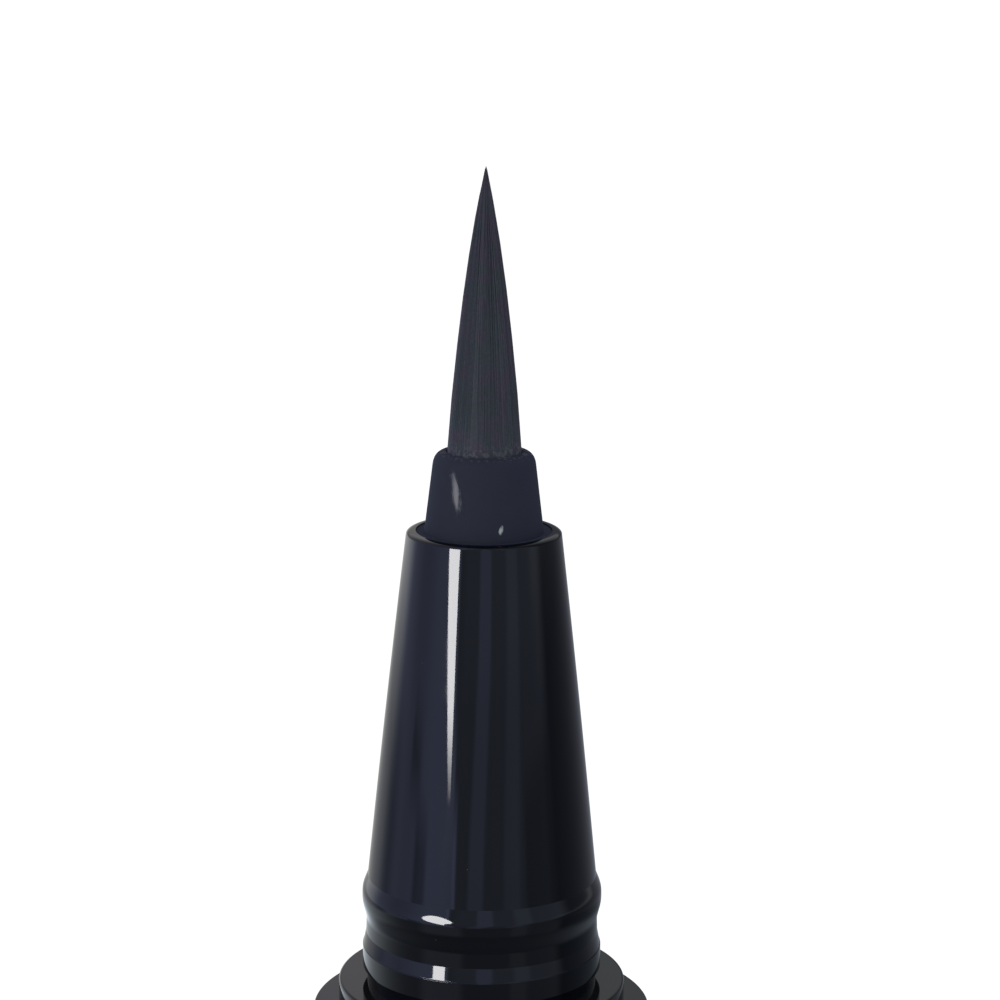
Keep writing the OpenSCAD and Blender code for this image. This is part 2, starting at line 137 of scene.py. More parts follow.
class CollarSettings(bpy.types.PropertyGroup):
    top_radius: length("Top radius", "Radius of the taper at its top", 1.362 * MM)
    mouth_radius: length("Radius at the mouth", "Radius of the taper level with the nose's mouth", 1.625 * MM)
    top_drop: length("Top drop", "How far the top lies below the packed one", 0.05 * MM)
    edge_width: length("Edge width", "Width of the rounding around the top", 0.32 * MM)
    edge_height: length("Edge height", "Height of that rounding", 0.36 * MM)
    sunk: length("Sunk depth", "Depth below the mouth where the collar widens to fill the bore", 0.03 * MM)
    hole_radius: length("Hole radius", "Radius of the hole that the tuft comes through", 1.036 * MM)
    hole_length: length("Hole length", "Length of that hole", 2.4 * MM)
    socket_radius: length("Socket radius", "Radius of the socket for the heel and the feed pipe", 1.37 * MM)
    spot_turn: angle("Rubbed spot", "Turn of the rubbed spot from the camera's side to its right", -31.5)
    spot_drop: length("Spot drop", "From the collar's top down to the rubbed spot's middle", 0.85 * MM)
    spot_width: length("Spot width", "Half the width of the rubbed spot", 0.18 * MM)
    spot_height: length("Spot height", "Half the height of the rubbed spot", 0.6 * MM)
    # The next four settings place a painted glint: a pale spot in the collar's colour near the mouth that
    # stands in for a sparkle of the key lamp.
    glint_turn: angle("Painted glint", "Turn of the painted glint from the camera's side to its right", 17)
    glint_depth: length("Glint depth", "From the collar's top down to the painted glint", 1.86 * MM)
    glint_width: length("Glint width", "Half the width of the painted glint", 0.06 * MM)
    glint_height: length("Glint height", "Half the height of the painted glint", 0.13 * MM)
    tint: colour("Colour", "Colour of the satin plastic", (0.036, 0.041, 0.066))
    crumbs: colour("Crumbs", "Colour of the dried crumbs near the top", (0.085, 0.083, 0.105))
    # Colour of that painted glint near the mouth.
    drop: colour("Glint colour", "Colour of the painted glint", (0.62, 0.70, 0.72))


class NoseSettings(bpy.types.PropertyGroup):
    foot_radius: length("Foot radius", "Radius of the foot under the ring", 3.2 * MM)
    foot_height: length("Foot height", "Height of the foot", 0.40 * MM)
    ring_radius: length("Ring radius", "Radius of the ring", 3.325 * MM)
    ring_height: length("Ring height", "Height of the ring's straight face", 0.59 * MM)
    shoulder_radius: length("Shoulder radius", "Radius where the ring's shoulder meets the flare", 3.303 * MM)
    shoulder_height: length("Shoulder height", "Height of the ring's shoulder", 0.025 * MM)
    flare_radius: length("Flare radius", "Radius where the flare meets the skirt", 3.231 * MM)
    flare_height: length("Flare height", "Height of the flare", 0.375 * MM)
    skirt_radius: length("Skirt radius", "Radius where the skirt meets the neck", 3.223 * MM)
    skirt_height: length("Skirt height", "Height of the skirt, which spreads less than the flare", 0.25 * MM)
    neck_radius: length("Neck radius", "Radius of the neck under the bead", 3.220 * MM)
    neck_height: length("Neck height", "Height of the neck", 0.20 * MM)
    bead_radius: length("Bead radius", "Radius of the snap bead", 3.335 * MM)
    bead_under: length("Bead underside", "Height of the bead's underside", 0.44 * MM)
    bead_face: length("Bead face", "Height of the bead's straight face", 0.32 * MM)
    bead_flank: length("Bead flank", "Height of the gentle part of the bead's upper flank", 0.16 * MM)
    crease_radius: length("Crease radius", "Radius where the flank grows steeper", 3.293 * MM)
    crease_height: length("Crease height", "Height of the steep part of the flank", 0.27 * MM)
    ring_edge: length("Ring rounding", "Reach of the rounding at the ring's corners", 0.006 * MM)
    snap_edge: length("Snap rounding", "Reach of the rounding at the corners from skirt to bead", 0.13 * MM)
    cone_radius: length("Cone radius", "Radius of the cone where the bead ends", 3.18 * MM)
    cone_belly: length("Cone belly", "How far the cone swells between its ends", 0.021 * MM)
    mouth_radius: length("Mouth radius", "Radius of the cone at its mouth", 2.09 * MM)
    rim_width: length("Rim width", "Width of the rounding around the mouth", 0.19 * MM)
    rim_height: length("Rim height", "Height of that rounding", 0.08 * MM)
    rim_turn: angle("Rim turn", "Angle at which that rounding starts on the cone", 17)
    bore_radius: length("Bore radius", "Radius of the bore that holds the collar", 1.862 * MM)
    bore_depth: length("Bore depth", "Depth of that bore", 7.2 * MM)
    pipe_way: length("Pipe way", "Radius of the way for the feed pipe", 1.58 * MM)
    stem_radius: length("Stem radius", "Radius of the stem inside the sleeve", 2.6 * MM)
    stem_length: length("Stem length", "Length of the stem below the sleeve's face", 4.0 * MM)
    tint: colour("Colour", "Colour of the glossy plastic", (0.0035, 0.0040, 0.0075))


class SleeveSettings(bpy.types.PropertyGroup):
    radius: length("Radius", "Radius of the sleeve", 4.0 * MM)
    edge: length("Edge rounding", "Rounding of the face's outer edge", 0.08 * MM)
    hole_radius: length("Hole radius", "Radius of the hole for the nose's stem", 2.62 * MM)
    wall_height: length("Front wall", "Thickness of the front wall", 2.4 * MM)
    bore_radius: length("Bore radius", "Radius of the bore around the collector", 3.48 * MM)
    tint: colour("Colour", "Colour of the sleeve's plastic", (0.011, 0.012, 0.015))


class BarrelSettings(bpy.types.PropertyGroup):
    rear_edge: length("Rear rounding", "Rounding of the rear outer edge", 0.25 * MM)
    front_edge: length("Front rounding", "Rounding of the front outer edge", 0.03 * MM)
    bore_radius: length("Bore radius", "Radius of the bore behind the sleeve", 3.75 * MM)
    seat_radius: length("Seat radius", "Radius of the bore that holds the sleeve", 4.01 * MM)
    tint: colour("Colour", "Colour of the glossy plastic", (0.0045, 0.0050, 0.0085))


class TailSettings(bpy.types.PropertyGroup):
    stem_radius: length("Stem radius", "Radius of the plug inside the barrel", 3.73 * MM)
    stem_length: length("Stem length", "Length of the plug inside the barrel", 6.5 * MM)
    spigot_height: length("Spigot height", "How far the spigot stands out of the barrel", 0.86 * MM)
    end_radius: length("End radius", "Radius at the end of the taper", 2.7 * MM)
    end_edge: length("End rounding", "Rounding at the end of the taper", 0.5 * MM)
    hollow_radius: length("Hollow radius", "Radius of the hollow in the plug", 2.2 * MM)
    groove_depth: length("Groove depth", "Depth of the seal's groove", 0.5 * MM)
    groove_height: length("Groove height", "Height of the seal's groove", 0.7 * MM)
    groove_drop: length("Groove place", "Distance from the barrel's end to the tail seal's groove", 2.0 * MM)
    nose_groove_drop: length("Nose groove", "From the sleeve's face down to the nose seal's groove", 0.9 * MM)


class CapSettings(bpy.types.PropertyGroup):
    bore_radius: length("Bore radius", "Radius of the cap's bore", 4.0 * MM)
    end_thickness: length("End thickness", "Thickness of the closed end", 1.2 * MM)
    end_edge: length("End rounding", "Rounding around the closed end", 0.5 * MM)
    mouth_edge: length("Mouth rounding", "Rounding of the mouth", 0.15 * MM)
    boss_radius: length("Boss radius", "Radius of the boss that centres the spring", 2.06 * MM)
    boss_height: length("Boss height", "Height of that boss", 1.0 * MM)
    wire_radius: length("Wire radius", "Radius of the spring's wire", 0.22 * MM)
    coil_radius: length("Coil radius", "Radius of the spring's coil at the middle of the wire", 2.5 * MM)
    curls: amount("Curls", "Number of curls in the spring", 8, 3, 16)


class StageSettings(bpy.types.PropertyGroup):
    distance: length("Camera distance", "Distance from the camera to the foot of the tuft", 82.9 * MM)
    rise: angle("Camera rise", "Angle of the camera above the foot of the tuft", 11.44)
    tilt: angle("Camera tilt", "How far the camera looks down", 12.39)
    roll: angle("Camera roll", "How far the camera leans about its line of sight", 0.39)
    aside: length("Camera offset", "How far the camera stands to the side of the pen's axis", 0.43 * MM)
    focal_pixels: amount("Focal length", "In pixels, for a frame of 1000 by 1000", 3065, 100, 20000)


# Outlines, as rows of (r, z). A closed one has its inside on the left, so that turned faces point outwards.

ARC_STEPS = 14
LARGEST_REACH_SHARE = 0.45
LONG_STEP = 2 * MM


def arc(r, z, radius, start, end):
    """An arc about (r, z): centre + radius * (cos t, sin t), with t from start to end in degrees."""
    t = np.radians(np.linspace(start, end, ARC_STEPS + 1))
    return np.column_stack((r + radius * np.cos(t), z + radius * np.sin(t)))


def bellied(start, end, belly):
    """The inner points of a line from start to end that swells outwards by belly times half a sine wave."""
    t = np.linspace(0, 1, 3 * ARC_STEPS + 1)[1:-1, None]
    return start + t * (end - start) + np.concatenate((belly * np.sin(np.pi * t), 0 * t), 1)


def softened(corners, reaches):
    """A line with its inner corners rounded. From A to C, a reach before and after a corner B, it follows the
    curve (1 - t)^2 A + 2 t (1 - t) B + t^2 C."""
    corners = np.asarray(corners, float)
    t = np.linspace(0, 1, ARC_STEPS // 2 + 1)[:, None]
    parts = [corners[:1]]
    for before, corner, after, reach in zip(corners[:-2], corners[1:-1], corners[2:], reaches):
        back, on = before - corner, after - corner
        back *= min(reach / np.hypot(*back), LARGEST_REACH_SHARE)
        on *= min(reach / np.hypot(*on), LARGEST_REACH_SHARE)
        parts.append(corner + (1 - t) ** 2 * back + t ** 2 * on)
    return np.concatenate((*parts, corners[-1:]))


def taper_end(r, z, width, height, lean):
    """The rounded end of a taper that leans to the axis: a curve (1 - t)^2 A + 2 t (1 - t) B + t^2 C that
    touches the taper at A, a height below z, and the flat top at C, a width inside B. At B, where r is
    given, the two would meet."""
    t = np.linspace(0, 1, ARC_STEPS + 1)[:, None]
    low = np.array((r + height * math.tan(lean), z - height))
    return (1 - t) ** 2 * low + 2 * t * (1 - t) * np.array((r, z)) + t ** 2 * np.array((r - width, z))


def groove(r, z, tail):
    """A square groove for a seal, with its upper side at z."""
    return np.array([(r, z - tail.groove_height), (r - tail.groove_depth, z - tail.groove_height),
                     (r - tail.groove_depth, z), (r, z)])


def snap_outline(nose, z, direction=1):
    """The foot, ring, skirted neck and bead that a cap snaps on, from height z, upwards or mirrored
    downwards. The first three corners have the ring's rounding, and the other five the snap's."""
    ring, shoulder, flare, skirt, neck, bead, face, flank, crease, end = z + direction * np.cumsum((
        nose.foot_height, nose.ring_height, nose.shoulder_height, nose.flare_height, nose.skirt_height,
        nose.neck_height, nose.bead_under, nose.bead_face, nose.bead_flank, nose.crease_height))
    return np.concatenate((
        [(nose.foot_radius, z), (nose.foot_radius, ring)],
        softened([(nose.ring_radius, ring), (nose.ring_radius, shoulder), (nose.shoulder_radius, flare),
                  (nose.flare_radius, skirt), (nose.skirt_radius, neck), (nose.neck_radius, bead),
                  (nose.bead_radius, face), (nose.bead_radius, flank), (nose.crease_radius, crease),
                  (nose.cone_radius, end)], np.repeat((nose.ring_edge, nose.snap_edge), (3, 5)))))


def refined(outline, longest=0.5 * MM, guard=0.02 * MM, closed=True):
    """The outline with points added at even steps, and a pair close to each corner so that shading stays
    true up to it."""
    ends = np.roll(outline, -1, axis=0)
    parts = []
    for start, end in list(zip(outline, ends))[: None if closed else -1]:
        span = float(np.hypot(*(end - start)))
        shares = np.linspace(0, 1, max(1, math.ceil(span / longest)) + 1)[:-1]
        if span > 4 * guard:
            shares = np.unique(np.concatenate((shares, (guard / span, 1 - guard / span))))
        parts.append(start + shares[:, None] * (end - start))
    if not closed:
        parts.append(outline[-1:])
    return np.concatenate(parts)


# Meshes


def new_piece(name, points, faces, body, nodes, slot, material, sharp=35.0):
    """An object from an array of points and arrays of faces with 3, 4 or more corners, riding on a body of
    the frame and standing for CAD nodes. Edges that turn by more than the sharp angle, in degrees, stay
    crisp."""
    faces = [f for f in faces if len(f)]
    corners = np.concatenate([f.ravel() for f in faces]).astype(np.int32)
    counts = np.concatenate([np.full(len(f), f.shape[1]) for f in faces])
    mesh = bpy.data.meshes.new(name)
    mesh.vertices.add(len(points))
    mesh.vertices.foreach_set("co", np.asarray(points, np.float32).ravel())
    mesh.loops.add(len(corners))
    mesh.loops.foreach_set("vertex_index", corners)
    mesh.polygons.add(len(counts))
    mesh.polygons.foreach_set("loop_start", np.concatenate(([0], np.cumsum(counts)[:-1])).astype(np.int32))
    mesh.update(calc_edges=True)
    mesh.shade_smooth()
    mesh.set_sharp_from_angle(angle=math.radians(sharp))
    mesh.materials.append(material)
    piece = bpy.data.objects.new(name, mesh)
    bpy.context.scene.collection.objects.link(piece)
    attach(piece, body)
    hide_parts(*nodes)
    return piece


def turned(outline, closed=True, columns=192):
    """Points and faces of an outline turned about the pen's axis: (r cos a, r sin a, z), with a in even
    steps. A row on the axis is one point. A closed outline joins its last row to its first."""
    r, z = outline.T
    on_axis = r < 1e-9
    a = np.arange(columns) * 2 * np.pi / columns
    heights = np.broadcast_to(z[:, None], (len(r), columns))
    grid = np.stack((r[:, None] * np.cos(a), r[:, None] * np.sin(a), heights), -1)
    kept = ~on_axis[:, None] | (np.arange(columns) == 0)
    starts = np.concatenate(([0], np.cumsum(kept.sum(1))[:-1]))
    number = starts[:, None] + np.where(on_axis[:, None], 0, np.arange(columns))
    low, high = (number, np.roll(number, -1, axis=0)) if closed else (number[:-1], number[1:])
    low_pole, high_pole = (on_axis, np.roll(on_axis, -1)) if closed else (on_axis[:-1], on_axis[1:])
    quads = np.stack((low, np.roll(low, -1, axis=1), np.roll(high, -1, axis=1), high), -1)
    walls = ~low_pole & ~high_pole
    return grid[kept], [
        quads[walls].reshape(-1, 4), quads[low_pole & ~high_pole][:, :, (0, 2, 3)].reshape(-1, 3),
        quads[high_pole & ~low_pole][:, :, (0, 1, 2)].reshape(-1, 3)]


def joined(*shapes):
    """Several shapes of points and faces as one."""
    points = np.concatenate([p for p, _ in shapes])
    offsets = np.concatenate(([0], np.cumsum([len(p) for p, _ in shapes])[:-1]))
    return points, [f + o for (_, faces), o in zip(shapes, offsets) for f in faces]


def tubes(path, radius, sides, pointed):
    """Closed tubes around rows of points. path is (tubes, steps, 3) and radius (tubes, steps), and a ring
    of the tube is path + radius * (u cos b + v sin b), with u and v square to the path. A pointed tube ends
    in one point."""
    along = np.gradient(path, axis=1)
    along /= np.linalg.norm(along, axis=2, keepdims=True)
    side = np.cross(along, np.where(np.abs(along[..., 2:]) > 0.7, (1.0, 0, 0), (0, 0, 1.0)))
    side /= np.linalg.norm(side, axis=2, keepdims=True)
    other = np.cross(along, side)
    b = np.arange(sides) * 2 * np.pi / sides
    rings = path[:, :, None] + radius[..., None, None] * (
        side[:, :, None] * np.cos(b)[:, None] + other[:, :, None] * np.sin(b)[:, None])
    count, steps = path.shape[:2]
    if pointed:
        rings = rings[:, :-1]
        steps -= 1
        points = np.concatenate((rings.reshape(count, -1, 3), path[:, -1:]), 1)
    else:
        points = rings.reshape(count, -1, 3)
    each = points.shape[1]
    number = np.arange(steps * sides).reshape(steps, sides)
    after = np.roll(number, -1, axis=1)
    quads = np.stack((number[:-1], after[:-1], after[1:], number[1:]), -1).reshape(-1, 4)
    ends = [number[0][::-1][None]]
    if pointed:
        ends.append(np.stack((number[-1], after[-1], np.full(sides, each - 1)), -1))
    else:
        ends.append(number[-1][None])
    shift = (np.arange(count) * each)[:, None, None]
    return points.reshape(-1, 3), [(f + shift).reshape(-1, f.shape[1]) for f in (quads, *ends)]


# Materials


class Level:
    """One number in a material that varies over a surface. Sums and products of levels add their Math
    nodes."""

    def __init__(self, material, socket):
        self.material, self.socket = material, socket

    def math(self, operation, *others):
        """This level and others through one Math node."""
        return self.material.node("ShaderNodeMath", {"operation": operation}, (self, *others))

    def __add__(self, other):
        return self.math("ADD", other)

    __radd__ = __add__

    def __mul__(self, other):
        return self.math("MULTIPLY", other)

    __rmul__ = __mul__

    def __sub__(self, other):
        return self.math("SUBTRACT", other)

    def __rsub__(self, other):
        return self * -1 + other


def scaled(tint, factor):
    """A colour times a number, held at white."""
    return tuple(min(1, factor * part) for part in tint)


class Finish:
    """A material, or the world's background, under construction."""

    def __init__(self, name, kind="materials", shader="Principled BSDF"):
        self.data = getattr(bpy.data, kind).new(name)
        self.data.use_nodes = True
        self.tree = self.data.node_tree
        self.shader = self.tree.nodes[shader]

    def node(self, kind, settings=None, values=(), output=0):
        """A node of a kind, with its settings and its sockets' values or links, as one of its outputs."""
        made = self.tree.nodes.new(kind)
        for key, value in (settings or {}).items():
            setattr(made, key, value)
        pairs = values.items() if isinstance(values, dict) else enumerate(values)
        for key, value in pairs:
            self.put(made.inputs[key], value)
        return Level(self, made.outputs[output])

    def put(self, socket, value):
        """A link or a plain value on a socket."""
        if isinstance(value, Level):
            self.tree.links.new(value.socket, socket)
        elif hasattr(socket.default_value, "__len__") and len(socket.default_value) == 4 and len(value) == 3:
            socket.default_value = (*value, 1)
        else:
            socket.default_value = value

    def shade(self, **values):
        """Values or links on the surface shader's sockets, named with _ for a space."""
        for key, value in values.items():
            self.put(self.shader.inputs[key.replace("_", " ")], value)
        return self

    def place(self, stretch=(1, 1, 1)):
        """The place on the object, stretched for patterns that run along one way."""
        spot = self.node("ShaderNodeTexCoord", output="Object")
        return self.node("ShaderNodeMapping", {"vector_type": "POINT"}, {"Vector": spot, "Scale": stretch})

    def noise(self, size, detail=3.0, stretch=(1, 1, 1)):
        """Soft noise from 0 to 1 whose patches are about one size, in metres, across."""
        return self.node("ShaderNodeTexNoise", {"noise_dimensions": "3D"},
                         {"Vector": self.place(stretch), "Scale": 1 / size, "Detail": detail}, "Fac")

    def attribute(self, name, output="Fac"):
        """A number, or a colour, that the piece's mesh carries."""
        return self.node("ShaderNodeAttribute", {"attribute_name": name}, output=output)

    def looked_at(self, *kinds):
        """1 for rays from the camera, through a clear piece or of the kinds named, and 0 for the rest."""
        path = self.tree.nodes.new("ShaderNodeLightPath")
        seen = Level(self, path.outputs["Is Camera Ray"])
        for kind in ("Transmission", *kinds):
            seen = seen.math("MAXIMUM", Level(self, path.outputs[f"Is {kind} Ray"]))
        return seen

    def mix(self, share, first, second):
        """A colour between two, by a share from 0 to 1."""
        made = self.tree.nodes.new("ShaderNodeMix")
        made.data_type = "RGBA"
        self.put(made.inputs[0], share)
        self.put(made.inputs[6], first)
        self.put(made.inputs[7], second)
        return Level(self, made.outputs[2])

    def tinted(self, share, tint, least, most):
        """A tint that varies from least to most times itself, by a share from 0 to 1."""
        return self.mix(share, scaled(tint, least), scaled(tint, most))

    def multiply(self, first, second):
        """The product of two colours."""
        product = self.mix(1.0, first, second)
        product.socket.node.blend_type = "MULTIPLY"
        return product

    def between(self, level, low, high, to_low=0.0, to_high=1.0):
        """A level mapped smoothly from one range to another, and held there."""
        return self.node("ShaderNodeMapRange", {"interpolation_type": "SMOOTHSTEP"}, {
            "Value": level, "From Min": low, "From Max": high, "To Min": to_low, "To Max": to_high})

    def along(self, vector, way):
        """How far a vector reaches along a way."""
        return self.node("ShaderNodeVectorMath", {"operation": "DOT_PRODUCT"}, (vector, way), "Value")

    def bump(self, height, depth=1.0):
        """Shading that follows a height times a depth in metres."""
        return self.node("ShaderNodeBump", None, {"Height": height, "Distance": depth}, "Normal")


# The recipes. A noise is given by the size of its patches, its detail and its stretch, and a threshold by
# the two levels that it rises between.


def glossy_plastic(name, tint, gloss=0.03):
    """Polished injection-moulded plastic: deep even colour with faint flow marks, a slight waviness of the
    surface, fine haze where it is handled, hairline scratches around the barrel and single motes of pale
    dust."""
    cell, dust_colour, relief = 0.6 * MM, (0.12, 0.12, 0.12), 0.002 * MM
    haze_dulling, scratch_dulling, wave_share, hair_share = 0.035, 0.03, 0.8, 0.015
    finish = Finish(name)
    flow = finish.noise(1.6 * MM, 4, (1, 1, 0.25))
    haze = finish.noise(0.9 * MM, 5)
    hairs = finish.noise(0.05 * MM, 2, (1, 1, 0.04))
    waves = finish.noise(2.2 * MM, 1)
    scratched = finish.between(hairs, 0.66, 0.72) * finish.between(haze, 0.5, 0.75)
    motes = {"Vector": finish.place(), "Scale": 1 / cell}
    near = finish.node("ShaderNodeTexVoronoi", None, motes, "Distance")
    chosen = finish.node("ShaderNodeTexVoronoi", None, motes, "Color")
    dust = finish.between(near, 0.012, 0.03, 1, 0) * finish.between(chosen, 0.6, 0.65)
    return finish.shade(
        Base_Color=finish.mix(dust, finish.tinted(flow, tint, 0.82, 1.22), dust_colour),
        Roughness=finish.between(haze, 0.35, 0.8, gloss, gloss + haze_dulling) + scratched * scratch_dulling,
        Normal=finish.bump(waves * wave_share + hairs * hair_share, relief), IOR=1.2).data


def offsets(finish, radius, turn, z):
    """How far to the right and how far up a place lies from a spot on the pen's side, where the turn runs
    from the camera's side to its right."""
    spot = (radius * math.sin(turn), -radius * math.cos(turn), z)
    offset = finish.node("ShaderNodeVectorMath", {"operation": "SUBTRACT"}, (finish.place(), spot))
    return finish.along(offset, (math.cos(turn), math.sin(turn), 0)), finish.along(offset, (0, 0, 1))


def satin_plastic(name, collar, rim):
    """The collar's satin plastic: an even fine grain that hardly shines, but for a slanting spot that is
    rubbed smooth and a little flat, pale crumbs of dried liquid around the tuft, and a painted glint near
    the mouth: a pale spot in the colour that stands in for a sparkle of the key lamp. A spot fills an
    ellipse, (across / width)^2 + (up / height)^2 = 1, whose edge the rubs break up."""
    spot_slant, spot_drift, glint_slant = 0.31, 0.25 / MM, 0.25
    flatness, grain_relief, crumb_relief, crumb_reach = 0.158, 0.001 * MM, 0.012 * MM, 0.09 * MM
    satin, rubbed_smooth = 0.8, 0.12
    finish = Finish(name)
    patches = finish.noise(0.5 * MM, 4)
    grain = finish.noise(0.03 * MM, 2)
    across, up = offsets(finish, collar.top_radius, collar.spot_turn, rim - collar.spot_drop)
    # Offsets from the middle of the painted glint, which stands in for a sparkle of the key lamp.
    beside, above = offsets(finish, collar.mouth_radius, collar.glint_turn, rim - collar.glint_depth)
    slanted = across + up * spot_slant
    leaning = beside - above * glint_slant
    rubs = finish.noise(0.05 * MM, 3, (1, 1, 0.25))
    spot_spread = slanted * slanted * collar.spot_width ** -2 + up * up * collar.spot_height ** -2
    rubbed = finish.between(spot_spread + rubs * 1.8 + up * spot_drift, 1.1, 2.3, 1, 0)
    glint_spread = leaning * leaning * collar.glint_width ** -2 + above * above * collar.glint_height ** -2
    # The painted glint: a pale spot laid into the colour, its edge broken by the rubs.
    drop = finish.between(glint_spread + rubs * 2, 1.0, 2.2, 1, 0)
    crumbs = finish.noise(0.13 * MM, 2)
    near_top = finish.between(up, collar.spot_drop - crumb_reach, collar.spot_drop)
    crust = finish.between(crumbs, 0.5, 0.62) * near_top
    crusted = finish.mix(crust, finish.tinted(patches, collar.tint, 0.96, 1.06), tuple(collar.crumbs))
    height = grain * grain_relief - across * rubbed * flatness + crust * crumb_relief
    # The colour is the crusted grain with the painted glint laid over it.
    return finish.shade(
        Base_Color=finish.mix(drop, crusted, tuple(collar.drop)),
        Roughness=finish.between(rubbed, 0, 1, satin, rubbed_smooth),
        Normal=finish.bump(height), IOR=1.09).data


def filament_plastic(name, brush):
    """Nylon filaments: each with its own depth of colour, streaked along its length, mottled from cool to
    purplish, a little purple at the tip, and with crumbs of dried liquid at the foot."""
    tone_share, streak_share, fine_share = 0.28, 0.27, 0.45
    cool, purplish = (0.88, 1.05, 1.0), (1.09, 0.96, 1.09)
    crust_share, tip_share = 0.8, 0.6
    finish = Finish(name)
    tone = finish.attribute("tone")
    height = finish.attribute("height")
    streak = finish.noise(0.09 * MM, 3, (1, 1, 0.14))
    fine = finish.noise(0.06 * MM, 2)
    patch = finish.noise(0.5 * MM, 3)
    depth = finish.between(tone * tone_share + streak * streak_share + fine * fine_share, 0.3, 0.75)
    mottling = finish.mix(finish.between(patch, 0.4, 0.6), cool, purplish)
    mottled = finish.multiply(finish.mix(depth, tuple(brush.dark), tuple(brush.light)), mottling)
    crumbs = finish.noise(0.12 * MM, 2)
    crust = finish.between(height, 0.005, 0.05, crust_share, 0) * finish.between(crumbs, 0.45, 0.6)
    crusted = finish.mix(crust, mottled, tuple(brush.crumbs))
    return finish.shade(
        Base_Color=finish.mix(finish.between(height, 0.72, 0.98, 0, tip_share), crusted, tuple(brush.tip)),
        Roughness=finish.between(streak, 0.3, 0.7, 0.55, 0.7),
        Normal=finish.bump(streak, 0.002 * MM), IOR=1.1).data


def milky_plastic(name, tint, cloud=0.9 * MM):
    """Natural moulded polypropylene: waxy, slightly cloudy, with a fine matte skin."""
    finish = Finish(name)
    clouds = finish.noise(cloud, 4)
    skin = finish.noise(0.08 * MM, 2)
    return finish.shade(
        Base_Color=finish.tinted(clouds, tint, 0.9, 1.06),
        Roughness=finish.between(clouds, 0.3, 0.7, 0.34, 0.46), Subsurface_Weight=0.15,
        Normal=finish.bump(skin, 0.002 * MM), IOR=1.49).data


def liner_plastic(name, tint):
    """Plain moulded black: even, dull, with faint draw marks along the pen."""
    finish = Finish(name)
    draw = finish.noise(0.2 * MM, 3, (1, 1, 0.1))
    return finish.shade(
        Base_Color=finish.tinted(draw, tint, 0.8, 1.3), Roughness=finish.between(draw, 0.3, 0.7, 0.36, 0.5),
        Normal=finish.bump(draw, 0.002 * MM), IOR=1.46).data


def rubber(name, tint):
    """Matte black elastomer with a dusty bloom."""
    finish = Finish(name)
    bloom = finish.noise(0.3 * MM, 5)
    return finish.shade(
        Base_Color=finish.tinted(bloom, tint, 1, 2.2), Roughness=finish.between(bloom, 0.3, 0.7, 0.62, 0.8),
        Normal=finish.bump(bloom, 0.006 * MM), IOR=1.45).data


def fibre(name, tint):
    """Bonded polyester fibre: fine pale strands along the wick, with painted shade in the darker gaps between
    them.
    """
    finish = Finish(name)
    strands = finish.noise(0.06 * MM, 4, (1, 1, 0.03))
    # Darker where the strands' noise is low: painted shade in the gaps between the strands.
    return finish.shade(
        Base_Color=finish.tinted(finish.between(strands, 0.3, 0.6), tint, 0.62, 1),
        Roughness=finish.between(strands, 0.3, 0.7, 0.75, 0.9),
        Normal=finish.bump(strands, 0.02 * MM), IOR=1.45).data


def steel(name, tint, roughness, stretch):
    """Stainless steel, polished or drawn: fine marks that run one way and small changes of gloss."""
    mark_dulling = 0.12
    finish = Finish(name)
    marks = finish.noise(0.06 * MM, 3, stretch)
    dull = finish.noise(0.7 * MM, 3)
    return finish.shade(
        Base_Color=finish.tinted(dull, tint, 0.9, 1), Metallic=1.0,
        Roughness=finish.between(marks, 0.3, 0.7, roughness, roughness + mark_dulling),
        Normal=finish.bump(marks, 0.001 * MM)).data


def shared(name, make, *settings):
    """A material by name, made the first time that a piece asks for it."""
    return bpy.data.materials.get(name) or make(name, *settings)


def barrel_material():
    """The glossy plastic that the barrel, the tail and the cap share."""
    return shared("barrel_gloss", glossy_plastic, tuple(bpy.context.scene.pen_barrel.tint))


# Operators


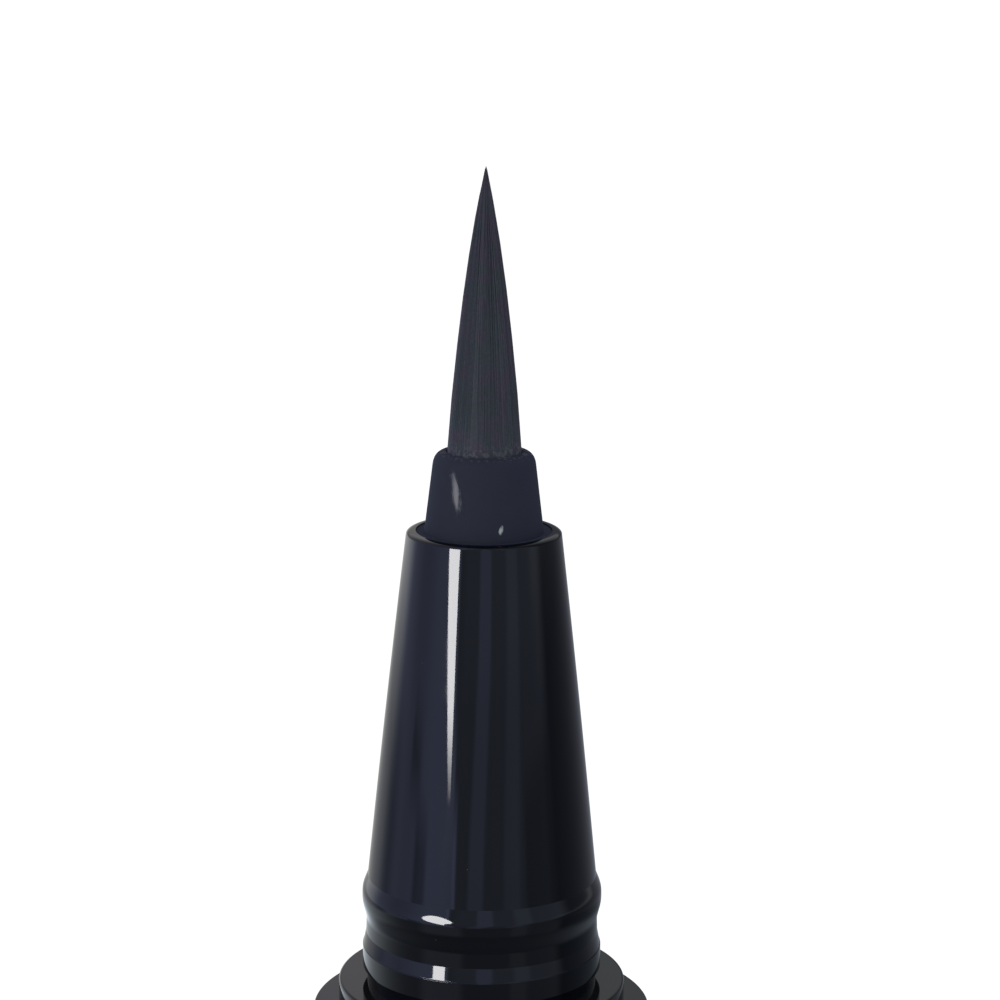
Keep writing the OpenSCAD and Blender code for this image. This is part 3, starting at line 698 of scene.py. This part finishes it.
class PEN_OT_brush(bpy.types.Operator):
    """Builds the pointed tuft of filaments over a solid core"""

    bl_idname = "eyeliner.brush"
    bl_label = "Brush"

    def execute(self, context):
        brush = context.scene.pen_brush
        root, tip = top("brush_collar"), top("brush_bristles")
        rise = tip - root
        random = np.random.default_rng(7)
        early_ends, late_ends, middle_ends, middle_rings = (0.55, 0.93), (0.955, 1.0), (0.985, 1.0), 3
        seat_jitter, wave_pace, least_spread = 0.3, 4.5, 0.2 * MM
        steps = np.array([0, 0.2, 0.4, 0.58, 0.74, 0.88, 1.0])
        sides, columns = 5, 48

        def envelope(s):
            """Share of the base radius at a share s of the tuft's height: 1 - 0.69 s - 0.30 s cubed."""
            return 1 - 0.69 * s - 0.30 * s**3

        # Seats: one in the middle and six more in each further ring
        sizes = [max(1, 6 * k) for k in range(brush.rings + 1)]
        ring = np.repeat(np.arange(brush.rings + 1), sizes)
        turn = np.concatenate([(np.arange(size) + k / 3) / size for k, size in enumerate(sizes)])
        count = len(ring)
        seat = ring / brush.rings * (1 - brush.filament_radius / brush.base_radius)
        around = 2 * np.pi * turn + random.normal(0, seat_jitter, count) / np.maximum(ring, 1)
        early = random.random(count) < brush.early_share
        end = np.where(early, random.uniform(*early_ends, count), random.uniform(*late_ends, count))
        middle = ring < middle_rings
        end[middle] = random.uniform(*middle_ends, middle.sum())
        end[0] = 1.0

        # Ways: each filament follows the envelope at its seat and strays sideways by half a sine wave times
        # a wave of its own. Two phases are drawn for each, and the first one is used
        s = end[:, None] * steps
        phase = random.uniform(0, 2 * np.pi, (2, count, 1))[0]
        stray = brush.wander * np.sin(np.pi * steps) * np.sin(wave_pace * s + phase) / (1 + 2 * s)
        spread = envelope(s) * seat[:, None] * brush.base_radius
        bearing = around[:, None] + stray / np.maximum(spread, least_spread)
        spread = spread + np.where(early[:, None], brush.splay * steps**3, 0)
        path = np.stack((spread * np.cos(bearing), spread * np.sin(bearing), root + rise * s), -1)
        path[:, 0, 2] -= brush.root_depth
        thickness = brush.filament_radius * (0.25 + 0.75 * envelope(s)) * (1 - 0.85 * steps**5)
        filaments = tubes(path, thickness, sides, pointed=True)

        # The core fills the tuft a little below the outer filaments and closes just under the tip
        levels = np.linspace(0, 0.975, 20)
        fullness = 0.975 - 0.2 * levels**4
        core = np.column_stack((fullness * brush.base_radius * envelope(levels), root + rise * levels))
        low = root - brush.root_depth
        core = turned(np.concatenate(([(0, low), (core[0, 0], low)], core, [(0, root + 0.99 * rise)])),
                      closed=False, columns=columns)
        points, faces = joined(filaments, core)
        piece = new_piece("tuft", points, faces, "pen", ("brush_bristles",), "bristles",
                          shared("filaments", filament_plastic, brush), 60)
        per_filament = len(filaments[0]) // count
        tone = np.concatenate((np.repeat(random.random(count), per_filament), np.full(len(core[0]), 0.45)))
        height = np.clip((points[:, 2] - root) / rise, 0, 1)
        for name, values in (("tone", tone), ("height", height)):
            attribute = piece.data.attributes.new(name, "FLOAT", "POINT")
            attribute.data.foreach_set("value", values.astype(np.float32))
        return {"FINISHED"}


class PEN_OT_collar(bpy.types.Operator):
    """Builds the satin collar that the tuft stands in"""

    bl_idname = "eyeliner.collar"
    bl_label = "Brush collar"

    def execute(self, context):
        collar = context.scene.pen_collar
        rim, mouth, low = top("brush_collar") - collar.top_drop, top("nose_cone"), foot("brush_collar")
        heel, wide = top("brush_collar") - collar.hole_length, half_width("brush_collar")
        lean = math.atan((collar.mouth_radius - collar.top_radius) / (rim - mouth))
        sunk = mouth - collar.sunk
        outline = np.concatenate((
            [(collar.socket_radius, low), (wide, low), (wide, sunk),
             (collar.mouth_radius + collar.sunk * math.tan(lean), sunk)],
            taper_end(collar.top_radius, rim, collar.edge_width, collar.edge_height, lean),
            [(collar.hole_radius, rim), (collar.hole_radius, heel), (collar.socket_radius, heel)]))
        new_piece("tuft_collar", *turned(refined(outline, 0.25 * MM)), "pen", ("brush_collar",),
                  "collar_plastic", shared("collar_satin", satin_plastic, collar, rim), 15)
        return {"FINISHED"}


class PEN_OT_nose(bpy.types.Operator):
    """Builds the glossy nose cone with its rim, bead, neck, ring and foot"""

    bl_idname = "eyeliner.nose"
    bl_label = "Nose cone"

    def execute(self, context):
        nose = context.scene.pen_nose
        face, mouth = top("front_sleeve"), top("nose_cone")
        snap = snap_outline(nose, face)
        lean = math.atan((nose.cone_radius - nose.mouth_radius) / (mouth - snap[-1][1]))
        rim = taper_end(nose.mouth_radius, mouth, nose.rim_width, nose.rim_height, lean + nose.rim_turn)
        bore = mouth - nose.bore_depth
        outline = np.concatenate((
            [(nose.pipe_way, face - nose.stem_length), (nose.stem_radius, face - nose.stem_length)],
            groove(nose.stem_radius, face - context.scene.pen_tail.nose_groove_drop, context.scene.pen_tail),
            [(nose.stem_radius, face)], snap, bellied(snap[-1], rim[0], nose.cone_belly), rim,
            [(nose.bore_radius, mouth), (nose.bore_radius, bore), (nose.pipe_way, bore)]))
        new_piece("nose", *turned(refined(outline)), "pen", ("nose_cone",), "nose_plastic",
                  shared("nose_gloss", glossy_plastic, tuple(nose.tint)), 15)
        return {"FINISHED"}


class PEN_OT_sleeve(bpy.types.Operator):
    """Builds the front sleeve, whose flat face the nose cone stands on"""

    bl_idname = "eyeliner.sleeve"
    bl_label = "Front sleeve"

    def execute(self, context):
        sleeve = context.scene.pen_sleeve
        face, low, r = top("front_sleeve"), foot("front_sleeve"), sleeve.radius
        outline = np.concatenate((
            [(sleeve.bore_radius, low), (r, low)],
            arc(r - sleeve.edge, face - sleeve.edge, sleeve.edge, 0, 90),
            [(sleeve.hole_radius, face), (sleeve.hole_radius, face - sleeve.wall_height),
             (sleeve.bore_radius, face - sleeve.wall_height)]))
        new_piece("sleeve", *turned(refined(outline, LONG_STEP)), "pen", ("front_sleeve",), "nose_plastic",
                  shared("sleeve_gloss", glossy_plastic, tuple(sleeve.tint), 0.06))
        return {"FINISHED"}


class PEN_OT_barrel(bpy.types.Operator):
    """Builds the barrel and the tail plug behind it"""

    bl_idname = "eyeliner.barrel"
    bl_label = "Barrel and tail"

    def execute(self, context):
        scene = context.scene
        barrel, tail, nose = scene.pen_barrel, scene.pen_tail, scene.pen_nose
        rear, front, r = foot("barrel"), top("barrel"), half_width("barrel")
        step = foot("front_sleeve")
        outline = np.concatenate((
            [(barrel.bore_radius, rear)],
            arc(r - barrel.rear_edge, rear + barrel.rear_edge, barrel.rear_edge, -90, 0),
            arc(r - barrel.front_edge, front - barrel.front_edge, barrel.front_edge, 0, 90),
            [(barrel.seat_radius, front), (barrel.seat_radius, step), (barrel.bore_radius, step)]))
        new_piece("barrel_tube", *turned(refined(outline, LONG_STEP)), "pen", ("barrel",), "barrel_plastic",
                  barrel_material())

        # The plug has the nose's snap profile upside down, and its end is a taper's end turned over
        spigot = rear - tail.spigot_height
        snap = snap_outline(nose, spigot, -1)
        end, inner, seat = foot("tail_plug"), top("tail_plug"), half_width("tail_plug")
        lean = math.atan((nose.cone_radius - tail.end_radius) / (snap[-1][1] - end))
        hollow = snap[-1][1] + nose.crease_height + nose.bead_flank + nose.bead_face + nose.bead_under
        edge = scene.pen_sleeve.edge
        turned_over = taper_end(tail.end_radius, -end, tail.end_edge, tail.end_edge, lean) * (1, -1)
        outline = np.concatenate((
            [(0, end)], turned_over[::-1], snap[::-1],
            arc(seat - edge, spigot + edge, edge, -90, 0), [(seat, rear), (tail.stem_radius, rear)],
            groove(tail.stem_radius, rear + tail.groove_drop + tail.groove_height, tail),
            [(tail.stem_radius, inner), (tail.hollow_radius, inner), (tail.hollow_radius, hollow),
             (0, hollow)]))
        new_piece("tail", *turned(refined(outline, closed=False), closed=False, columns=160), "pen",
                  ("tail_plug",), "barrel_plastic", barrel_material())
        return {"FINISHED"}


class PEN_OT_cap(bpy.types.Operator):
    """Builds the cap's shell and its spring"""

    bl_idname = "eyeliner.cap"
    bl_label = "Cap"

    def execute(self, context):
        cap = context.scene.pen_cap
        mouth, r = top("cap_shell"), half_width("cap_shell")
        floor, boss = cap.end_thickness, cap.end_thickness + cap.boss_height
        outline = np.concatenate((
            [(0, 0)], arc(r - cap.end_edge, cap.end_edge, cap.end_edge, -90, 0),
            arc(r - cap.mouth_edge, mouth - cap.mouth_edge, cap.mouth_edge, 0, 90),
            [(cap.bore_radius, mouth), (cap.bore_radius, floor), (cap.boss_radius, floor),
             (cap.boss_radius, boss), (0, boss)]))
        new_piece("cap", *turned(refined(outline, LONG_STEP, closed=False), closed=False), "cap",
                  ("cap_shell",), "barrel_plastic", barrel_material())

        # The spring: a helix, (coil cos a, coil sin a, low + rise * a / last a), of round wire
        low, high = foot("cap_spring") + cap.wire_radius, top("cap_spring") - cap.wire_radius
        steps_per_curl, wire_sides = 28, 12
        t = np.linspace(0, 1, cap.curls * steps_per_curl + 1)
        a, r = 2 * np.pi * cap.curls * t, cap.coil_radius
        path = np.column_stack((r * np.cos(a), r * np.sin(a), low + (high - low) * t))
        coil = tubes(path[None], np.full((1, len(t)), cap.wire_radius), wire_sides, pointed=False)
        spring = new_piece("spring_coil", *coil, "cap", ("cap_spring",), "spring_steel",
                           shared("drawn_steel", steel, (0.55, 0.56, 0.58), 0.22, (1, 1, 0.2)))
        travel = next(j for j in frame["joints"] if j["name"] == "inner_cap_travel")["range_m"][1]
        anchor = foot("cap_spring")
        1 - travel / (top("cap_spring") - anchor)
        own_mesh(spring)
        return {"FINISHED"}


class PEN_OT_inside(bpy.types.Operator):
    """Gives the pieces inside the pen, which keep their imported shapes, their materials"""

    bl_idname = "eyeliner.inside"
    bl_label = "Inside pieces"

    def execute(self, context):
        milky = shared("milky_polypropylene", milky_plastic, (0.70, 0.71, 0.72))
        tube = shared("clear_tube", milky_plastic, (0.66, 0.67, 0.68), 0.5 * MM)
        black_rubber = shared("seal_rubber", rubber, (0.012, 0.012, 0.012))
        finishes = {
            "brush_heel": bpy.data.materials["filaments"], "feed_pipe": tube,
            "relay_wick": shared("wick_fibre", fibre, (0.55, 0.53, 0.48)),
            "nose_seal": black_rubber, "tank_seal": black_rubber, "tail_seal": black_rubber,
            "collector": milky, "ink_tank": milky, "tank_plug": milky, "inner_cap": milky,
            "mixing_ball": shared("polished_steel", steel, (0.60, 0.61, 0.63), 0.05, (1, 1, 1)),
            "cap_liner": shared("liner_black", liner_plastic, (0.010, 0.010, 0.012)),
        }
        for node, material in finishes.items():
            for slot in frame["nodes"][node].material_slots:
                slot.material = material
        return {"FINISHED"}


class PEN_OT_stage(bpy.types.Operator):
    """Sets the floor, the soft lights and the photograph's camera"""

    bl_idname = "eyeliner.stage"
    bl_label = "Stage"

    def execute(self, context):
        stage = context.scene.pen_stage
        make_floor()
        make_world(context.scene)
        make_lights()
        frame_pixels, sensor, nearest, farthest = 1000, 36, 0.005, 50
        data = bpy.data.cameras.new("view")
        data.sensor_width, data.lens = sensor, stage.focal_pixels * sensor / frame_pixels
        data.clip_start, data.clip_end = nearest, farthest
        camera = bpy.data.objects.new("view", data)
        context.scene.collection.objects.link(camera)
        camera.location = (stage.aside, -stage.distance * math.cos(stage.rise),
                           top("brush_collar") + stage.distance * math.sin(stage.rise))
        turn = Matrix.Rotation(math.pi / 2 - stage.tilt, 3, "X") @ Matrix.Rotation(stage.roll, 3, "Z")
        camera.rotation_euler = turn.to_euler()
        context.scene.camera = camera
        context.scene.view_settings.view_transform = "Standard"
        return {"FINISHED"}


def make_floor():
    """A wide pale disc, radius * (cos a, sin a). What the camera sees is lifted to white, and the shade
    under the pen stays."""
    sides, radius, lift = 96, 4.0, 0.66
    a = np.arange(sides) * 2 * np.pi / sides
    points = np.column_stack((radius * np.cos(a), radius * np.sin(a), np.zeros(sides)))
    mesh = bpy.data.meshes.new("floor")
    mesh.from_pydata(points.tolist(), [], [list(range(sides))])
    floor = bpy.data.objects.new("floor", mesh)
    bpy.context.scene.collection.objects.link(floor)
    finish = Finish("floor_white")
    speckle = finish.noise(3 * MM, 3)
    finish.shade(
        Base_Color=finish.mix(speckle, (0.78, 0.78, 0.79), (0.82, 0.82, 0.82)), Roughness=0.9, IOR=1.05,
        Emission_Color=finish.mix(finish.looked_at(), (0, 0, 0), (1, 1, 1)), Emission_Strength=lift)
    mesh.materials.append(finish.data)


def make_world(scene):
    """White where the camera and reflections look, and a softer white that lights the pen."""
    finish = Finish("studio", "worlds", "Background")
    finish.shade(Color=finish.mix(finish.looked_at("Glossy"), (0.5, 0.5, 0.5), (1, 1, 1)))
    scene.world = finish.data


def smooth(value, low, high):
    """0 below low, 1 above high, and 3 t^2 - 2 t^3 between them."""
    t = np.clip((value - low) / (high - low), 0, 1)
    return t * t * (3 - 2 * t)


def band(value, start, end, fade_in, fade_out):
    """1 from start to end, fading smoothly to 0 outside them."""
    return smooth(value, start - fade_in, start) * (1 - smooth(value, end, end + fade_out))


def light_sheet(name, azimuth, elevation, distance, centre_z, radiance):
    """A curved sheet of light that only reflections find: distance * (sin a cos e, -cos a cos e, sin e)
    from centre_z on the axis, for a grid of azimuths a and elevations e in degrees. Azimuth 0 is the
    camera's side and a positive one is to its right. radiance gives each point's colour."""
    a, e = np.radians(azimuth), np.radians(elevation)
    points = np.stack((np.sin(a) * np.cos(e), -np.cos(a) * np.cos(e), np.sin(e)), -1)
    points *= np.asarray(distance)[..., None]
    points[..., 2] += centre_z
    rows, columns = a.shape
    number = np.arange(rows * columns).reshape(rows, columns)
    quads = np.stack((number[:-1, :-1], number[1:, :-1], number[1:, 1:], number[:-1, 1:]), -1).reshape(-1, 4)
    mesh = bpy.data.meshes.new(name)
    mesh.from_pydata(points.reshape(-1, 3).tolist(), [], quads.tolist())
    light = np.concatenate((radiance.reshape(-1, 3), np.ones((rows * columns, 1))), 1)
    colours = mesh.attributes.new("light", "FLOAT_COLOR", "POINT")
    colours.data.foreach_set("color", light.astype(np.float32).ravel())
    finish = Finish(name)
    finish.shade(Base_Color=(0, 0, 0), Specular_IOR_Level=0.0, Emission_Strength=1.0,
                 Emission_Color=finish.attribute("light", "Color"))
    mesh.materials.append(finish.data)
    sheet = bpy.data.objects.new(name, mesh)
    bpy.context.scene.collection.objects.link(sheet)
    for kind in ("camera", "diffuse", "transmission", "volume_scatter", "shadow"):
        setattr(sheet, "visible_" + kind, False)


# Places on the tent, in degrees. A span has a first and a last degree and how far its two sides fade, and FAR
# where it has no end. A rise has the two degrees between which something sets in.
FAR = 999

# The tent's cloths: the span of azimuths that each covers, and the light that it adds to the shade. The low
# ones hang below the level of the pen's neck, where the tent is darker.
SHADE, LOW_SHADE, FLOOR_SHADE = (0.30, 0.32, 0.38), (0.60, 0.68, 0.80), (0.42, 0.48, 0.56)
CLOTHS = (
    ((-28, 74, 3, 16), (0.75, 0.90, 1.15)),
    ((-6, 5, 4, 4), (0.70, 0.80, 1.40)),
    ((31, 42, 6, 5), (0.45, 0.60, 0.75)),
    ((-50, -28, 45, 3), (1.20, 1.35, 2.40)),
    ((-95, -28, 70, 3), (1.00, 1.15, 1.80)),
    ((-181, -130, 1, 20), (1.20, 1.20, 1.10)),
)
LOW_CLOTHS = (
    ((-52, -24, 14, 10), (0.60, 0.62, 0.80)),
    ((31, 40, 6, 8), (0.35, 0.38, 0.42)),
    ((-181, -118, 1, 45), (0.62, 0.68, 0.66)),
    ((86, 181, 12, 1), (-0.42, -0.46, -0.55)),
)

# How the edges lean. The edge beside the key lamp hangs further left where it has risen. By a pace for each
# degree, the front cloths' edges hang further right above their upright, and the gap below its own
LEFT_LEAN, LEFT_RISE, LEFT_EDGE = 5.5, (-8, -4.5), (-40, -28, 20, 12)
FRONT_PACE, FRONT_UPRIGHT, FRONT_HELD, FRONT_START = 1.3, -4, (-9, -1), (-25, -15)
GAP_PACE, GAP_UPRIGHT, GAP_HELD = 10, -7.3, (-1, 2)

# The dark gap between the left cloths: its spans of azimuth and elevation, and the light that it takes
GAP, GAP_LEVELS, GAP_SHADE = (-90, -82, 6, 6), (-FAR, -9, 1, 3), (1.0, 1.15, 1.9)

# Changes to the high cloths' light, in order: the share that it gains, the light added to it, and the spans
# of azimuth and elevation where they hold
CHANGES = (
    (0.22, 0, (-20, FAR, 10, 1), (-1, FAR, 4, 1)),
    (0, 0.5, (74, 125, 12, 12), (-2, 0, 3, 3)),
    (-0.4, 0, (48, 74, 6, 8), (-FAR, -8, 1, 2.5)),
    (-0.55, 0, (-FAR, -112, 1, 20), (-FAR, -12, 1, 5)),
    (-0.6, 0, (-FAR, -135, 1, 25), (10, FAR, 6, 1)),
    (-0.6, 0, (135, FAR, 25, 1), (10, FAR, 6, 1)),
)

# The rise from the low cloths to the high ones, which sags past the front, and that from the floor's shade
SEAM_RISE, SEAM_SAG, SEAM_FRONT = (-13, -9), 0.08, 30
FLOOR_RISE = (-36, -24)

# The two pale backs, above and behind the pen
BACK_LEFT, BACK_RIGHT, BACK_RISE, BACK_START = (0.95, 0.93, 1.00), (0.60, 0.64, 0.66), (15.5, 19), (120, 150)

# The key lamp: an oval over a wedge that narrows and leans to the right as it goes down
KEY_AZIMUTH, KEY_RISE, KEY_COLOUR = -42.5, (-6.9, 18.2), (0.97, 0.97, 1.0)
OVAL_MIDDLE, OVAL_HALF_WIDTH, OVAL_HALF_HEIGHT = 9, 15, 9.2
WEDGE_TOP, WEDGE_HALF_WIDTH, WEDGE_PACE, LEAN_TOP, LEAN_PACE = 3, 8.3, 1.0, -0.4, 1.05
KEY_DIM, KEY_BRIGHT, KEY_FADE = 12, 82, (-7.2, -4)


def cloths_light(azimuth, shade, cloths):
    """A shade with the light of each cloth added."""
    light = np.zeros((*azimuth.shape, 3)) + shade
    for span, added in cloths:
        light += band(azimuth, *span)[..., None] * added
    return light


def tent_light(azimuth, elevation):
    """The tent's light: the high cloths with their changes, the low cloths and the floor's shade below
    them, and the backs, each faded into the next by a share s as (1 - s) * one + s * other."""
    left = LEFT_LEAN * smooth(elevation, *LEFT_RISE) * band(azimuth, *LEFT_EDGE)
    front = FRONT_PACE * (FRONT_UPRIGHT - np.clip(elevation, *FRONT_HELD)) * smooth(azimuth, *FRONT_START)
    high = cloths_light(azimuth + left + front, SHADE, CLOTHS)
    below = np.clip(GAP_UPRIGHT - elevation, *GAP_HELD)
    gap = band(azimuth - GAP_PACE * below, *GAP) * band(elevation, *GAP_LEVELS)
    high -= gap[..., None] * GAP_SHADE
    for gain, added, azimuths, elevations in CHANGES:
        share_here = (band(azimuth, *azimuths) * band(elevation, *elevations))[..., None]
        high = high * (1 + gain * share_here) + added * share_here
    aside = np.abs(azimuth)
    above_floor = smooth(elevation, *FLOOR_RISE)[..., None]
    low = cloths_light(azimuth, LOW_SHADE, LOW_CLOTHS) * above_floor + (1 - above_floor) * FLOOR_SHADE
    upper = smooth(elevation + SEAM_SAG * np.maximum(0, aside - SEAM_FRONT), *SEAM_RISE)[..., None]
    light = high * upper + low * (1 - upper)
    back = (smooth(aside, *BACK_START) * smooth(elevation, *BACK_RISE))[..., None]
    return light + back * (np.where(azimuth[..., None] < 0, BACK_LEFT, BACK_RIGHT) - light)


def key_half_width(elevation):
    """Half the key lamp's width: the oval, half width * sqrt(1 - ((e - middle) / half height)^2), or where
    it is wider, below its top, the wedge."""
    oval = OVAL_HALF_WIDTH * np.sqrt(np.maximum(0, 1 - ((elevation - OVAL_MIDDLE) / OVAL_HALF_HEIGHT) ** 2))
    wedge = WEDGE_HALF_WIDTH + WEDGE_PACE * elevation
    return np.where(elevation < WEDGE_TOP, np.maximum(oval, wedge), oval)


def make_lights():
    """A light tent of soft cloths around the pen, and a bright key lamp on its left that draws the streak.
    Below its middle the tent closes in towards the pen, just above the floor."""
    middle, tent_radius, key_radius, lift = 0.135, 0.3, 0.29, 0.13
    azimuth, elevation = np.meshgrid(np.linspace(-180, 180, 241), np.linspace(-86, 90, 89))
    down = np.sin(np.radians(np.maximum(0, -elevation)))
    distance = lift / np.maximum(down, lift / tent_radius)
    light_sheet("tent", azimuth, elevation, distance, middle, tent_light(azimuth, elevation))
    across, elevation = np.meshgrid(np.linspace(-1, 1, 25), np.linspace(*KEY_RISE, 85))
    azimuth = KEY_AZIMUTH + LEAN_PACE * np.maximum(0, LEAN_TOP - elevation)
    azimuth += across * key_half_width(elevation)
    strength = KEY_DIM + (KEY_BRIGHT - KEY_DIM) * smooth(elevation, *KEY_FADE)
    light_sheet("key", azimuth, elevation, key_radius, middle, strength[..., None] * KEY_COLOUR)


# Panel and registration

OPERATORS = (
    PEN_OT_brush, PEN_OT_collar, PEN_OT_nose, PEN_OT_sleeve, PEN_OT_barrel, PEN_OT_cap, PEN_OT_inside,
    PEN_OT_stage)
SETTINGS = {
    "pen_brush": BrushSettings, "pen_collar": CollarSettings, "pen_nose": NoseSettings,
    "pen_sleeve": SleeveSettings, "pen_barrel": BarrelSettings, "pen_tail": TailSettings,
    "pen_cap": CapSettings, "pen_stage": StageSettings}


class PEN_PT_pieces(bpy.types.Panel):
    """Lists the pen's pieces and their settings"""

    bl_idname = "PEN_PT_pieces"
    bl_label = "Eyeliner Pen"
    bl_space_type = "VIEW_3D"
    bl_region_type = "UI"
    bl_category = "Eyeliner Pen"

    def draw(self, context):
        for operator in OPERATORS:
            self.layout.operator(operator.bl_idname)
        for name in SETTINGS:
            box = self.layout.box()
            box.label(text=name.replace("pen_", "").capitalize())
            group = getattr(context.scene, name)
            for key in group.bl_rna.properties.keys():
                if key not in ("name", "rna_type"):
                    box.prop(group, key)


CLASSES = (*SETTINGS.values(), *OPERATORS, PEN_PT_pieces)


def register():
    for item in CLASSES:
        bpy.utils.register_class(item)
    for name, group in SETTINGS.items():
        setattr(bpy.types.Scene, name, PointerProperty(type=group))


def unregister():
    for name in SETTINGS:
        delattr(bpy.types.Scene, name)
    for item in reversed(CLASSES):
        bpy.utils.unregister_class(item)


def main():
    """Builds every piece in order."""
    register()
    bpy.ops.eyeliner.brush()
    bpy.ops.eyeliner.collar()
    bpy.ops.eyeliner.nose()
    bpy.ops.eyeliner.sleeve()
    bpy.ops.eyeliner.barrel()
    bpy.ops.eyeliner.cap()
    bpy.ops.eyeliner.inside()
    bpy.ops.eyeliner.stage()


if __name__ == "__main__":
    main()
